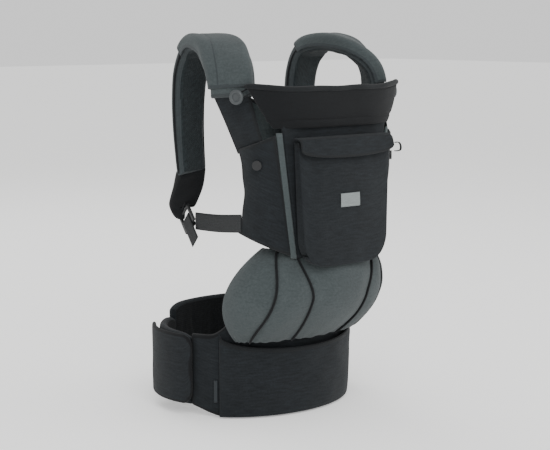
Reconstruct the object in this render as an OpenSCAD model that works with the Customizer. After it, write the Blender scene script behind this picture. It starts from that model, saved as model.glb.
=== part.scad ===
// Soft-structured child carrier, stood upright as if worn.
// +Z up, the outer face looks towards -Y and the wearer's body is inside the belt loop.

/* [Waist belt] */
// Width of the belt loop over its padding
belt_w = 296; // [250:1:360]
// Depth of the belt loop over its padding
belt_d = 240; // [200:1:300]
// Height of the belt wings
belt_h = 118; // [98:1:142]
// Extra height of the front pad behind the seat
pad_rise = 30; // [10:1:40]
// Foam thickness of the belt
belt_foam = 10; // [6:0.5:14]
// Thickness of each fabric skin on the belt
skin = 2; // [1.5:0.1:3]
// Height of the wings' lower edge above the front pad's
wing_lift = 14; // [0:1:24]
// Extra height of the lumbar pad at the back
lumbar_rise = 12; // [0:1:20]
// Half angle of the front pad, seen from the belt's centre
pad_angle = 74; // [64:1:80]
// Half angle of the lumbar pad at the back
lumbar_angle = 34; // [26:1:42]
// Half angle of the belt pocket
pocket_angle = 54; // [40:1:56]
// Height of the belt pocket at its ends
belt_pocket_h = 116; // [90:1:120]
// How far the belt pocket's mouth dips in the middle
pocket_dip = 22; // [0:1:30]
// How far the belt pocket bulges from the pad
pocket_bulge = 11; // [6:1:20]
// Thickness of the outer sleeve on each wing
sleeve_t = 7; // [4:0.5:9]
// Distance that the outer sleeve stands off the wing
sleeve_off = 4; // [1:0.5:5]

/* [Seat] */
// Height of the seat, from the belt to the panel
seat_h = 128; // [106:1:155]
// Widest width of the seat
seat_w = 268; // [224:1:300]
// Width of the seat where it meets the belt
seat_foot_w = 212; // [180:1:230]
// Thickness of the padded seat
seat_t = 8; // [5:0.5:11]
// How far each gore puffs out
gore_puff = 6; // [2:0.5:8]
// Diameter of the piping between the gores
piping_d = 3.2; // [2.6:0.1:4]

/* [Front panel] */
// Width of the front panel at its top
panel_top_w = 190; // [160:1:228]
// Width of the front panel at the seat
panel_foot_w = 136; // [114:1:163]
// Height of the front panel
panel_h = 170; // [142:1:204]
// How far the panel stands in front of the belt
panel_reach = 58; // [50:1:70]
// Thickness of the front panel
panel_t = 5; // [3:0.5:7]
// Thickness of the padded lining behind it
lining_t = 5; // [3:0.5:7]
// Width of the light edge band
band_w = 10; // [7:0.5:13]
// Thickness of single webbings, bands and wings
cloth_t = 3; // [2.4:0.1:4]
// Reach of the side wings towards the wearer's back
wing_reach = 60; // [50:1:72]

/* [Front pouch] */
// Width of the pouch at its mouth
pouch_w = 168; // [140:1:184]
// Width of the pouch at its bottom
pouch_foot_w = 152; // [128:1:166]
// Height of the pouch
pouch_h = 153; // [130:1:156]
// Depth of the pouch at its mouth
pouch_mouth_d = 13; // [11:1:20]
// Depth of the pouch at its bottom
pouch_foot_d = 18; // [15:1:26]
// Length of the flap in front of the pouch
flap_drop = 28; // [20:1:34]

/* [Head support] */
// Height of the head support
head_h = 60; // [45:1:75]
// Thickness of the head support
head_t = 7; // [5:0.5:9]
// Diameter of the buttons
button_d = 20; // [16:0.5:24]

/* [Shoulder straps] */
// Width of the padded strap
strap_w = 60; // [50:1:72]
// Thickness of the padded strap
strap_t = 23; // [16:1:26]
// Height of the strap's top above the panel
strap_rise = 126; // [105:1:151]
// Distance between the strap centres at the back
strap_gap = 208; // [180:1:240]

/* [Webbing and buckles] */
// Width of the shoulder webbing
web_w = 25; // [20:1:30]
// Width of the waist webbing
waist_web_w = 38; // [30:1:50]
// Thickness of webbing
web_t = 1.8; // [1.4:0.1:2.2]
// Length of the ladder lock
lock_l = 30; // [26:1:36]
// Bar diameter of the ladder lock
lock_bar = 4; // [3:0.5:5]

/* [Clearances] */
// Gap between sewn pieces
gap = 0.4; // [0.3:0.1:0.6]
// Gap between pieces that move
move_gap = 1; // [0.6:0.1:1.5]

/* [Hidden] */
$fn = 48;

// ---------- placing ----------
// Everything is laid out round the belt's centre, then moved so that the whole is centred over the origin
module placed() translate([0, shift_y, 0]) children();

// ---------- small vector helpers ----------
function mix(a, b, t) = a + (b - a) * t;
function unit(v) = v / norm(v);
function hump(v) = 4 * v * (1 - v);
function steps(n) = [for (i = [0:n]) i / n];
// Smooth curve through evenly spaced values
function spline(p, t) =
  let (n = len(p) - 1, s = min(max(t, 0), 1) * n, i = min(floor(s), n - 1), f = s - i,
    a = p[max(i - 1, 0)], b = p[i], c = p[i + 1], d = p[min(i + 2, n)])
  0.5 * (2 * b + (c - a) * f + (2 * a - 5 * b + 4 * c - d) * f * f + (3 * b - 3 * c + d - a) * f * f * f);

// ---------- sheet solids ----------
// A closed solid between two grids of points: top and bottom are lists of rows
module slab(top, bottom) {
  rows = len(top);
  cols = len(top[0]);
  m = rows * cols;
  quads = concat(
    [for (i = [0:rows - 2]) for (j = [0:cols - 2]) [i * cols + j, i * cols + j + 1, (i + 1) * cols + j + 1, (i + 1) * cols + j]],
    [for (i = [0:rows - 2]) for (j = [0:cols - 2]) [m + i * cols + j, m + (i + 1) * cols + j, m + (i + 1) * cols + j + 1, m + i * cols + j + 1]],
    [for (j = [0:cols - 2]) [j, m + j, m + j + 1, j + 1]],
    [for (j = [0:cols - 2]) [(rows - 1) * cols + j + 1, m + (rows - 1) * cols + j + 1, m + (rows - 1) * cols + j, (rows - 1) * cols + j]],
    [for (i = [0:rows - 2]) [(i + 1) * cols, m + (i + 1) * cols, m + i * cols, i * cols]],
    [for (i = [0:rows - 2]) [i * cols + cols - 1, m + i * cols + cols - 1, m + (i + 1) * cols + cols - 1, (i + 1) * cols + cols - 1]]);
  polyhedron(
    points = concat([for (r = top) for (p = r) p], [for (r = bottom) for (p = r) p]),
    faces = [for (q = quads) for (k = [0, 1]) k == 0 ? [q[0], q[1], q[2]] : [q[0], q[2], q[3]]]);
}
// Outward normal of a surface f(u, v)
function surface_normal(f, u, v) =
  let (e = 0.004, u0 = max(u - e, 0), u1 = min(u + e, 1), v0 = max(v - e, 0), v1 = min(v + e, 1))
  unit(cross(f(u1, v) - f(u0, v), f(u, v1) - f(u, v0)));
// A sheet from its outer surface f inwards by its thickness
module sheet(f, nu, nv, inner, outer = 0) {
  slab([for (v = steps(nv)) [for (u = steps(nu)) f(u, v) + outer * surface_normal(f, u, v)]],
    [for (v = steps(nv)) [for (u = steps(nu)) f(u, v) - inner * surface_normal(f, u, v)]]);
}
// A round-section tube along a list of points, capped flat
module tube(path, d, sides = 8) {
  n = len(path);
  rings = [for (i = [0:n - 1])
    let (t = unit(path[min(i + 1, n - 1)] - path[max(i - 1, 0)]),
      a = unit(cross(t, abs(t[0]) < 0.8 ? [1, 0, 0] : [0, 0, 1])), b = cross(t, a))
    [for (k = [0:sides - 1]) path[i] + d / 2 * (a * cos(360 * k / sides) + b * sin(360 * k / sides))]];
  polyhedron(
    points = concat([for (r = rings) for (p = r) p]),
    faces = concat(
      [for (i = [0:n - 2]) for (k = [0:sides - 1]) [i * sides + k, (i + 1) * sides + k, (i + 1) * sides + (k + 1) % sides]],
      [for (i = [0:n - 2]) for (k = [0:sides - 1]) [i * sides + k, (i + 1) * sides + (k + 1) % sides, i * sides + (k + 1) % sides]],
      [for (k = [1:sides - 2]) [0, k, k + 1]],
      [for (k = [1:sides - 2]) [(n - 1) * sides, (n - 1) * sides + k + 1, (n - 1) * sides + k]]));
}
module right_of() mirror([1, 0, 0]) children();

// ---------- belt ----------
// Point on the belt's oval at an angle from the front, moved out by off; positive angles go to +X
function oval(angle, off = 0) =
  let (a = belt_w / 2, b = belt_d / 2, s = sin(angle), c = cos(angle), n = unit([s / a, -c / b]))
  [a * s + off * n[0], -b * c + off * n[1]];
// Plan of a band between two offsets
module oval_band(from, to, inner, outer, n = 24) {
  polygon(concat([for (t = steps(n)) oval(mix(from, to, t), outer)], [for (t = steps(n)) oval(mix(to, from, t), inner)]));
}
belt_t = belt_foam + 2 * skin;
pad_h = belt_h + pad_rise;
// Angle of the seam between two belt parts, a gap wide
seam = 0.15;
wing_to = 180 - lumbar_angle;
// Chamfer of the front pad's upper corners, and how far its lower edge rises over foot_run at each end
pad_corner = pad_rise + 6;
foot_run = 24;
pad_end_x = belt_w * 0.48;
module front_pad_layer(inner, outer) {
  intersection() {
    linear_extrude(height = pad_h) oval_band(-pad_angle, pad_angle, inner, outer);
    rotate([90, 0, 0]) linear_extrude(height = belt_d) polygon([
      [-belt_w, wing_lift], [-pad_end_x, wing_lift], [foot_run - pad_end_x, 0],
      [pad_end_x - foot_run, 0], [pad_end_x, wing_lift], [belt_w, wing_lift], [belt_w, belt_h],
      [belt_w * 0.44, belt_h], [belt_w * 0.44 - pad_corner, pad_h],
      [-belt_w * 0.44 + pad_corner, pad_h], [-belt_w * 0.44, belt_h], [-belt_w, belt_h]]);
  }
}
module belt_front_foam() color("#3a3d40") placed() front_pad_layer(-skin - belt_foam, -skin - gap / 4);
module belt_front_cover() color("#2c2f32") placed() front_pad_layer(-skin + gap / 4, 0);
module belt_front_mesh() color("#1b1e21") placed() front_pad_layer(-belt_t, -skin - belt_foam - gap / 4);
module belt_wing_left() color("#2a2d30") placed() translate([0, 0, wing_lift])
  linear_extrude(height = belt_h - wing_lift) oval_band(-pad_angle - seam, -wing_to + seam, -belt_t + skin, -gap);
module belt_wing_right() right_of() belt_wing_left();
module lumbar_pad() color("#202326") placed()
  linear_extrude(height = belt_h + lumbar_rise) oval_band(wing_to + seam, 360 - wing_to - seam, -belt_t + skin, -gap);

// Outer sleeve on each wing, from just behind the pocket to the back quarter
sleeve_from = pad_angle - 4;
sleeve_to = wing_to - 18;
sleeve_base = wing_lift + 3;
module belt_sleeve(base) {
  corner = 22;
  f = function(u, v)
    let (a = mix(sleeve_to, sleeve_from, u), edge = min(u, 1 - u) * 8,
      drop = edge < 1 ? corner * (1 - sqrt(1 - pow(1 - edge, 2))) : 0, p = oval(-a, sleeve_off + sleeve_t))
    [p[0], p[1], mix(base + drop, belt_h + 1, v)];
  sheet(f, 24, 2, sleeve_t);
}
module belt_sleeve_left() color("#303336") placed() belt_sleeve(sleeve_base);
module belt_sleeve_right() color("#303336") placed() right_of() belt_sleeve(belt_h * 0.3);

// Patch pocket sewn to the pad at its sides and bottom, its mouth standing open
pocket_wall = 2.4;
function pocket_mouth(u) = belt_pocket_h - pocket_dip * pow(hump(u), 0.45);
function belt_pocket_point(u, v) =
  let (a = mix(-pocket_angle, pocket_angle, u), puff = pow(hump(u), 0.4) * sqrt(mix(0.06, 1, min(v * 1.6, 1))),
    p = oval(a, gap + pocket_wall + (pocket_bulge - pocket_wall) * puff))
  [p[0], p[1], mix(1, pocket_mouth(u), v)];
module belt_pocket() color("#34373a") placed()
  sheet(function(u, v) belt_pocket_point(u, v), 28, 6, pocket_wall);
module belt_pocket_binding() color("#26292c") placed()
  sheet(function(u, v) belt_pocket_point(u, 1) + [0, 0, gap + 4 * v], 28, 1, pocket_wall);
module belt_tag() color("#17191b") placed() {
  p = oval(-pocket_angle - 3.2, gap);
  q = oval(-pocket_angle - 0.6, gap);
  translate([0, 0, 22]) linear_extrude(height = 32)
    polygon([p, q, q + [-1.2, -1.6], p + [-1.2, -1.6]]);
}

// ---------- waist webbing and side-release buckle, outside the lumbar pad ----------
web_z = belt_h * 0.48;
// Plane of the webbing's inner face behind the lumbar pad
back_y = belt_d / 2 + 3;
socket_l = 30;
plug_l = 18;
buckle_w = waist_web_w + 12;
buckle_h = 9;
release_travel = 25;
// The buckle's middle plane and the joint between its halves
buckle_y = back_y + buckle_h / 2;
joint_x = 0;
web_start = wing_to - 26;
// Plan points of a webbing that leaves the sleeve, follows the oval and turns straight along X
function waist_path(x_end, leave, plane) = concat(
  [for (t = steps(7)) let (p = oval(-mix(web_start, leave, t), gap)) [p[0], max(p[1], 0)]],
  [[-x_end - 5, plane - web_t / 2], [-x_end, plane - web_t / 2]]);
module waist_run(x_end, leave, plane) {
  path = waist_path(x_end, leave, plane);
  n = len(path);
  normals = [for (i = [0:n - 1]) let (t = unit(path[min(i + 1, n - 1)] - path[max(i - 1, 0)])) [-t[1], t[0]]];
  heights = [web_z - waist_web_w / 2, web_z + waist_web_w / 2];
  slab([for (z = heights) [for (i = [0:n - 1]) [path[i][0] + web_t * normals[i][0], path[i][1] + web_t * normals[i][1], z]]],
    [for (z = heights) [for (i = [0:n - 1]) [path[i][0], path[i][1], z]]]);
}
module waist_webbing_left() color("#3a3c3e") placed() waist_run(joint_x + socket_l + gap, wing_to + 4, buckle_y);
// The plug's webbing is straight: it slides through the adjuster as the plug is drawn out
plug_web_l = 40;
module waist_webbing_right() color("#3a3c3e") placed()
  translate([joint_x + plug_l + gap, buckle_y - web_t / 2, web_z - waist_web_w / 2])
    cube([plug_web_l, web_t, waist_web_w]);
module slotted_block(x, l, slots) {
  difference() {
    translate([x, buckle_y - buckle_h / 2, web_z - buckle_w / 2]) cube([l, buckle_h, buckle_w]);
    for (s = slots)
      translate([s[0], buckle_y - s[2] / 2, web_z - waist_web_w / 2 - move_gap])
        cube([s[1], s[2], waist_web_w + 2 * move_gap]);
  }
}
prong_w = 9;
prong_l = 20;
prong_h = 4.6;
// Socket half: a hollow body, open towards +X, with a window in each side for the prongs
module waist_buckle_socket() color("#141618") placed() difference() {
  translate([joint_x - socket_l, buckle_y - buckle_h / 2, web_z - buckle_w / 2]) cube([socket_l, buckle_h, buckle_w]);
  translate([joint_x - prong_l - 2, buckle_y - prong_h / 2 - move_gap / 2, web_z - waist_web_w / 2 - move_gap])
    cube([prong_l + 3, prong_h + move_gap, waist_web_w + 2 * move_gap]);
  for (side = [-1, 1])
    translate([joint_x - prong_l + 2, buckle_y - prong_h / 2 - move_gap / 2, web_z + side * buckle_w / 2 - 8])
      cube([8, prong_h + move_gap, 16]);
}
// Plug half: a bar body with two prongs and a guide tongue
module waist_buckle_plug() color("#141618") placed() {
  translate([joint_x + move_gap / 2, buckle_y - buckle_h / 2, web_z - buckle_w / 2]) cube([plug_l - move_gap / 2, buckle_h, buckle_w]);
  for (z = [web_z - waist_web_w / 2, web_z - prong_w / 2, web_z + waist_web_w / 2 - prong_w])
    translate([joint_x - prong_l, buckle_y - prong_h / 2, z]) cube([prong_l + 1, prong_h, prong_w]);
}
adjuster_x = joint_x + plug_l + release_travel + 4;
adjuster_l = 16;
module waist_adjuster() color("#141618") placed()
  slotted_block(adjuster_x, adjuster_l, [[adjuster_x - 1, adjuster_l + 2, web_t + 2 * move_gap]]);
// Short webbing that anchors the adjuster to the right wing, inside the plane the plug's webbing slides in
module waist_anchor_webbing() color("#3a3c3e") placed() right_of()
  waist_run(adjuster_x + adjuster_l + gap, wing_to - 14, buckle_y - web_t - move_gap);

// ---------- seat ----------
seat_z = belt_h - 9;
seat_top = seat_z + seat_h;
panel_y = belt_d / 2 + panel_reach;
seat_foot_y = belt_d / 2 + gap + seat_t + 3;
panel_z = seat_top + gap;
panel_top = panel_z + panel_h;
seat_edge_foot_y = belt_d / 2 * 0.76;
seat_edge_top_y = panel_y - 48;
// Half width, front reach and rear-edge reach of the seat at height v
function seat_half(v) = mix(seat_foot_w / 2, panel_foot_w / 2 + 24, v) + (seat_w / 2 - (seat_foot_w + panel_foot_w) / 4 - 12) * hump(v);
function seat_front(v) = mix(seat_foot_y, panel_y + 6, v) + 38 * hump(v);
function seat_edge(v) = mix(seat_edge_foot_y, seat_edge_top_y, v) - 12 * hump(v);
function seat_shape(angle, v) =
  [seat_half(v) * sin(angle), -seat_edge(v) - (seat_front(v) - seat_edge(v)) * cos(angle), mix(seat_z, seat_top, v)];
// The seams run from the panel's corners and the wings down to the belt, closest together at the middle
inner_seam = 22;
outer_seam = 47;
edge_angle = 90;
seam_gap = 0.7;
function seam_spread(v) = v > 0.5 ? pow(2 * v - 1, 1.5) : 0;
function inner_at(v) = inner_seam + 24 * seam_spread(v);
function outer_at(v) = outer_seam + 18 * pow(2 * v - 1, 2);
// One padded gore between two seam angles, each a function of height
module gore(from, to, n) {
  g = function(a, b) seat_shape(mix(from(b), to(b), a), b);
  f = function(u, v) g(u, v) + gore_puff * sin(180 * u) * pow(hump(v), 0.5) * surface_normal(g, u, v);
  sheet(f, n, 10, seat_t);
}
module left_gore(inside, outside, n)
  gore(function(v) seam_gap - outside(v), function(v) -seam_gap - inside(v), n);
module seat_center() color("#5f6566") placed() gore(function(v) seam_gap - inner_at(v), function(v) inner_at(v) - seam_gap, 8);
module seat_gore_left() color("#5f6566") placed() left_gore(function(v) inner_at(v), function(v) outer_at(v), 6);
module seat_gore_right() color("#5f6566") right_of() seat_gore_left();
module thigh_lobe_left() color("#5f6566") placed() left_gore(function(v) outer_at(v), function(v) edge_angle + seam_gap, 7);
module thigh_lobe_right() color("#5f6566") right_of() thigh_lobe_left();
// Piping stands on the seams, just proud of the gores
module piping(seam_angle) {
  g = function(a, b) seat_shape(a - seam_angle(b), b);
  tube([for (v = steps(12)) let (w = mix(0.02, 0.98, v)) g(0, w) + (piping_d / 2 + gap) * surface_normal(g, 0, w)], piping_d);
}
module seat_piping_left() color("#2a2d30") placed() {
  piping(function(v) inner_at(v));
  piping(function(v) outer_at(v));
}
module seat_piping_right() color("#2a2d30") right_of() seat_piping_left();

// ---------- front panel and lining ----------
panel_bulge = 6;
function panel_half(v) = mix(panel_foot_w, panel_top_w, v) / 2;
function panel_face(u, v) =
  let (s = 2 * u - 1) [s * panel_half(v), -panel_y - panel_bulge * (1 - s * s), mix(panel_z, panel_top, v)];
module front_panel() color("#2f3235") placed() sheet(function(u, v) panel_face(u, v), 12, 6, panel_t);
// The lining curves back round the child's sides and rises to the straps
lining_rise = 34;
function lining_face(u, v) =
  let (s = 2 * u - 1, k = pow(abs(s), 3), w = panel_half(v) + 20)
  [s * w, -panel_y + panel_t + gap + 30 * k - (panel_bulge - 1) * (1 - s * s),
    mix(panel_z + 2, panel_top + lining_rise * k, v)];
module panel_lining() color("#5b6163") placed() sheet(function(u, v) lining_face(u, v), 16, 6, lining_t);
module edge_band_left() color("#6b7071") placed() {
  f = function(u, v) let (p = panel_face(0, v)) [p[0] - 3 * gap - band_w * (1 - u), -panel_y - 1 + 4 * (1 - u), p[2]];
  sheet(f, 2, 6, cloth_t);
}
module edge_band_right() color("#6b7071") right_of() edge_band_left();

// ---------- side wings and arms ----------
// Wing from the edge band to the point where the shoulder webbing is sewn in
wing_tip_x = panel_top_w / 2 + 28;
wing_tip_y = panel_y - wing_reach;
wing_top = panel_top - 10;
wing_hollow = 12;
function wing_front(v) = let (p = panel_face(0, v)) [p[0] - 5 * gap - band_w, -panel_y + 6, mix(panel_z + 4, wing_top, v)];
function wing_rear(v) = [-wing_tip_x, -wing_tip_y - wing_hollow * hump(v), mix(panel_z + 30, wing_top - 16, v)];
module wing() {
  f = function(u, v)
    let (p = mix(wing_rear(v), wing_front(v), u)) p + [-9 * hump(u), -9 * hump(u), 0];
  sheet(f, 8, 6, cloth_t);
}
module side_wing_left() color("#303438") placed() wing();
module side_wing_right() color("#303438") placed() right_of() wing();
stud_d = 13;
stud_h = 3;
module wing_stud() {
  centre = mix(wing_rear(0.8), wing_front(0.8), 0.5) + [-9, -9, 0];
  translate(centre) rotate([90, 0, -48]) translate([0, 0, gap + move_gap]) cylinder(d = stud_d, h = stud_h);
}
module wing_studs() color("#17191b") placed() {
  wing_stud();
  right_of() wing_stud();
}

// ---------- shoulder straps ----------
strap_x = strap_gap / 2;
front_x = panel_top_w / 2 + 36;
strap_top = panel_top + strap_rise;
arm_top = panel_top + 43;
strap_front_y = panel_y - 62;
// Centre of the left strap from its front end, over the shoulder, to its tail
strap_centre = [
  [-front_x, -strap_front_y, arm_top],
  [-front_x + 2, -strap_front_y + 4, arm_top + 26],
  [-front_x + 6, -strap_front_y + 18, strap_top - 36],
  [-strap_x - 13, -strap_front_y + 44, strap_top - 18],
  [-strap_x - 5, -34, strap_top - 12],
  [-strap_x - 1, -6, strap_top - 24],
  [-strap_x, 11, strap_top - 52],
  [-strap_x, 17, strap_top - 88],
  [-strap_x + 1, 19, strap_top - 126],
  [-strap_x + 3, 19, strap_top - 163],
  [-strap_x + 6, 19, strap_top - 197]];
// Direction of the strap's width at the same stations
strap_across = [[0.42, -0.9, 0], [0.48, -0.87, 0], [0.62, -0.78, 0], [0.82, -0.55, 0], [0.95, -0.25, 0],
  [1, 0, 0], [1, 0, 0], [1, 0, 0], [1, 0, 0], [1, 0, 0], [1, 0, 0]];
// Width and thickness fall towards the tail
strap_tail = 0.78;
function strap_scale(t) = mix(1, strap_tail, max(0, (t - 0.45) / 0.55));
function strap_at(t) = spline(strap_centre, t);
function strap_dir(t) = unit(strap_at(min(t + 0.01, 1)) - strap_at(max(t - 0.01, 0)));
function strap_side(t) = let (w = unit(spline(strap_across, t)), d = strap_dir(t)) unit(w - d * (w * d));
function strap_up(t) = cross(strap_dir(t), strap_side(t)) * -1;
// Point on the strap's section: across from -1 to 1, out from the middle in millimetres
function strap_point(t, across, out) =
  strap_at(t) + strap_side(t) * across * strap_scale(t) + strap_up(t) * out * strap_scale(t);
cover_t = 2.4;
module strap_foam_left() color("#2b3537") placed() {
  half = strap_w / 2 - cover_t - gap;
  outer = strap_t / 2 - cover_t - gap;
  rows = [for (t = steps(20)) mix(0.01, 0.99, t)];
  slab([for (t = rows) [for (s = [-1, -0.8, 0, 0.8, 1]) strap_point(t, s * half, abs(s) == 1 ? outer - 5 : outer)]],
    [for (t = rows) [for (s = [-1, -0.8, 0, 0.8, 1]) strap_point(t, s * half, abs(s) == 1 ? -strap_t / 2 + 3 : -strap_t / 2)]]);
}
module strap_foam_right() color("#2b3537") right_of() strap_foam_left();
// Section of the cover: up one side, over the outer face and down the other side
function channel(half, out, k) = let (r = 5)
  [[-half, -strap_t / 2 + 3], [-half, out - r], [-half + r * 0.3, out - r * 0.3], [-half + r, out], [0, out],
    [half - r, out], [half - r * 0.3, out - r * 0.3], [half, out - r], [half, -strap_t / 2 + 3]][k];
module strap_channel(from, to, grow, n) {
  half = strap_w / 2 + grow;
  out = strap_t / 2 + grow;
  rows = [for (t = steps(n)) mix(from, to, t)];
  slab([for (t = rows) [for (k = [0:8]) let (c = channel(half, out, k)) strap_point(t, c[0], c[1])]],
    [for (t = rows) [for (k = [0:8]) let (c = channel(half - cover_t, out - cover_t, k)) strap_point(t, c[0], c[1])]]);
}
module strap_cover_left() color("#5f6567") placed() strap_channel(0, 1, 0, 20);
module strap_cover_right() color("#5f6567") right_of() strap_cover_left();
// Loose drool sleeve over the front and top of the strap
sleeve_span = [0.05, 0.5];
module strap_sleeve_left() color("#666b6c") placed() strap_channel(sleeve_span[0], sleeve_span[1], cover_t + gap, 9);
module strap_sleeve_right() color("#666b6c") right_of() strap_sleeve_left();

// Arm: flat fabric from the strap's front end down to the wing
module panel_arm_left() color("#2b2e31") placed() {
  top_c = strap_at(0) + [0, 0, -gap];
  foot_c = [-wing_tip_x - 1, -wing_tip_y - 24, wing_top - 6 + gap];
  f = function(u, v)
    let (across = unit(mix([0.08, -1, 0.22], strap_across[0], v)), half = mix(28, strap_w / 2 - 7, v))
    mix(foot_c, top_c, v) + across * half * (1 - 2 * u) + [0, 0, 0];
  sheet(f, 4, 6, cloth_t, 0);
}
module panel_arm_right() color("#2b2e31") right_of() panel_arm_left();

// ---------- head support ----------
head_z = panel_top + 3;
head_foot_half = panel_top_w / 2 + 13;
head_top_half = front_x + 8;
function head_face(u, v) =
  let (s = 2 * u - 1, k = pow(abs(s), 3.5))
  [s * mix(head_foot_half, head_top_half, v), -panel_y - panel_bulge - 5 - 5 * v + k * (18 + 20 * v),
    mix(head_z, head_z + head_h - 7 + 12 * k, v)];
// The lowest strip is sewn to the panel; the rest folds forwards along the line above it
fold_at = 0.22;
module head_base() color("#25282b") placed() sheet(function(u, v) head_face(u, (fold_at - 0.02) * v), 20, 2, head_t);
module head_support() color("#25282b") placed() sheet(function(u, v) head_face(u, mix(fold_at, 1, v)), 20, 5, head_t);
module head_binding() color("#33373a") placed()
  tube([for (u = steps(20)) head_face(u, 1) + [0, head_t / 2, head_t / 2 + 2 * gap + move_gap]], head_t + 1);
// Round buttons on short stems at the strap's inner front edge
button_turn = -65;
button_face = [sin(button_turn), -cos(button_turn), 0];
stem_l = 9;
// The stem stands on the strap's outer face, near its inner front edge
button_at = strap_at(0.012) + 19 * [0.42, -0.9, 0] + (strap_t / 2 + stem_l + cover_t + 2 * gap) * button_face;
module button_left() color("#565b5d") placed()
  translate(button_at) rotate([90, 0, button_turn]) {
    rotate_extrude() translate([button_d / 2 - 2.6, 0]) circle(d = 5.2);
    translate([0, 0, -1.2]) cylinder(d = button_d - 5, h = 2);
    translate([0, 0, -stem_l]) cylinder(d = 4, h = stem_l - 1);
  }
module button_right() color("#565b5d") right_of() button_left();
loop_d = 2.6;
// Two runs of elastic that reach under the button's rim from the head support's edge
module button_loop() {
  stem = button_at - 0.62 * stem_l * button_face;
  edge = head_face(0, 0.8);
  start = edge - button_face * ((edge - stem) * button_face);
  reach = unit(stem - start);
  far = norm(stem - start);
  for (side = [-1, 1])
    tube([for (t = [3.4, far - 2.6]) start + t * reach + side * 4 * cross(button_face, reach)], loop_d, 8);
}
module button_loops() color("#1b1e21") placed() {
  button_loop();
  right_of() button_loop();
}

// ---------- front pouch ----------
pouch_z = panel_top - 14 - pouch_h;
pouch_top = panel_top - 14;
pouch_wall = 2.2;
function pouch_half(v) = mix(pouch_foot_w, pouch_w, v) / 2;
function pouch_depth(v) = mix(pouch_foot_d, pouch_mouth_d, v);
pouch_back_y = panel_y + panel_bulge + gap;
function pouch_face(u, v) =
  let (s = 2 * u - 1)
  [s * pouch_half(v), -pouch_back_y - pouch_depth(v) - 8 * (1 - s * s) * hump(0.15 + 0.7 * v), mix(pouch_z, pouch_top, v)];
module pouch_front() color("#33363a") placed() sheet(function(u, v) pouch_face(u, v), 12, 8, pouch_wall);
module pouch_gusset_left() color("#54595b") placed() {
  f = function(u, v)
    let (p = pouch_face(0, v))
    [p[0] + gap + 3, mix(-pouch_back_y, p[1] + pouch_wall + gap, u), p[2]];
  sheet(f, 3, 8, pouch_wall);
}
module pouch_gusset_right() color("#54595b") right_of() pouch_gusset_left();
module pouch_bottom() color("#2a2d30") placed()
  translate([0, -pouch_back_y, pouch_z - gap - 2]) linear_extrude(height = 2)
    polygon([[-pouch_foot_w / 2, 0], [-pouch_foot_w / 2, -pouch_foot_d], [-pouch_foot_w / 4, -pouch_foot_d - 3],
      [pouch_foot_w / 4, -pouch_foot_d - 3], [pouch_foot_w / 2, -pouch_foot_d], [pouch_foot_w / 2, 0]]);

// Flap sewn to the panel above the pouch, hanging over its mouth
flap_z = pouch_top + move_gap + 1.5;
flap_hinge_y = pouch_back_y;
flap_t = 2.4;
module pocket_flap() color("#36393c") placed() {
  half = pouch_w / 2 + 1;
  // profile from the hinge, over the mouth and down the front
  f = function(u, v)
    let (s = 2 * u - 1, reach = pouch_mouth_d + 5.5 + 8 * (1 - s * s) * hump(0.85),
      p = spline([[3.4, 0], [reach * 0.5, -0.2], [reach, -4], [reach + 4, -flap_drop]], 1 - v))
    [s * half, -flap_hinge_y - p[0], flap_z + flap_t + p[1]];
  sheet(f, 12, 9, flap_t);
}
module flap_pull() color("#141618") placed() {
  x = pouch_w / 2 + 1;
  y = -flap_hinge_y - pouch_mouth_d - 11;
  tube([for (a = [0:30:180]) [x + 4 + 8 * sin(a), y + 1, flap_z - flap_drop + 12 - 5 * cos(a)]], 2.4, 8);
}

// ---------- strap tails, ladder locks and shoulder webbing ----------
anchor = [-wing_tip_x + 1, -wing_tip_y + 1, panel_z + 44];
lock_at = [-strap_x + 6, 30, panel_z + 32];
run_dir = unit([anchor[0] - lock_at[0], anchor[1] - lock_at[1], 0]);
lock_across = unit(run_dir + [0, 0, 1]);
lock_along = unit(run_dir - [0, 0, 1]);
lock_up = cross(lock_along, lock_across);
module to_lock() multmatrix([
  [lock_along[0], lock_across[0], lock_up[0], lock_at[0]],
  [lock_along[1], lock_across[1], lock_up[1], lock_at[1]],
  [lock_along[2], lock_across[2], lock_up[2], lock_at[2]]]) children();
strap_end_w = web_w + 2;
lock_back = lock_at - lock_along * (lock_l / 2 + move_gap);
module strap_end_left() color("#17191b") placed() {
  top_c = strap_at(1) + 4.4 * strap_dir(1);
  centres = [top_c, mix(top_c, lock_back, 0.4), lock_back - 8 * lock_along, lock_back];
  across = [[1, 0, 0], [0.9, -0.4, 0.1], [0.6, -0.7, 0.35], lock_across];
  halves = [strap_w / 2 * strap_tail, strap_w / 2 * strap_tail - 1, strap_w / 2 * strap_tail - 4, strap_end_w / 2];
  thick = [strap_t / 2 * strap_tail, strap_t / 2 * strap_tail - 2, 4, cloth_t / 2];
  rows = steps(10);
  dir = function(t) unit(spline(centres, min(t + 0.02, 1)) - spline(centres, max(t - 0.02, 0)));
  side = function(t) let (w = unit(spline(across, t)), d = dir(t)) unit(w - d * (w * d));
  section = function(t, s, k) spline(centres, t) + side(t) * s * spline(halves, t)
    + cross(side(t), dir(t)) * k * spline(thick, t) * (abs(s) == 1 ? 0.5 : 1);
  slab([for (t = rows) [for (s = [-1, -0.7, 0, 0.7, 1]) section(t, s, 1)]],
    [for (t = rows) [for (s = [-1, -0.7, 0, 0.7, 1]) section(t, s, -1)]]);
}
module strap_end_right() color("#17191b") right_of() strap_end_left();
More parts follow.
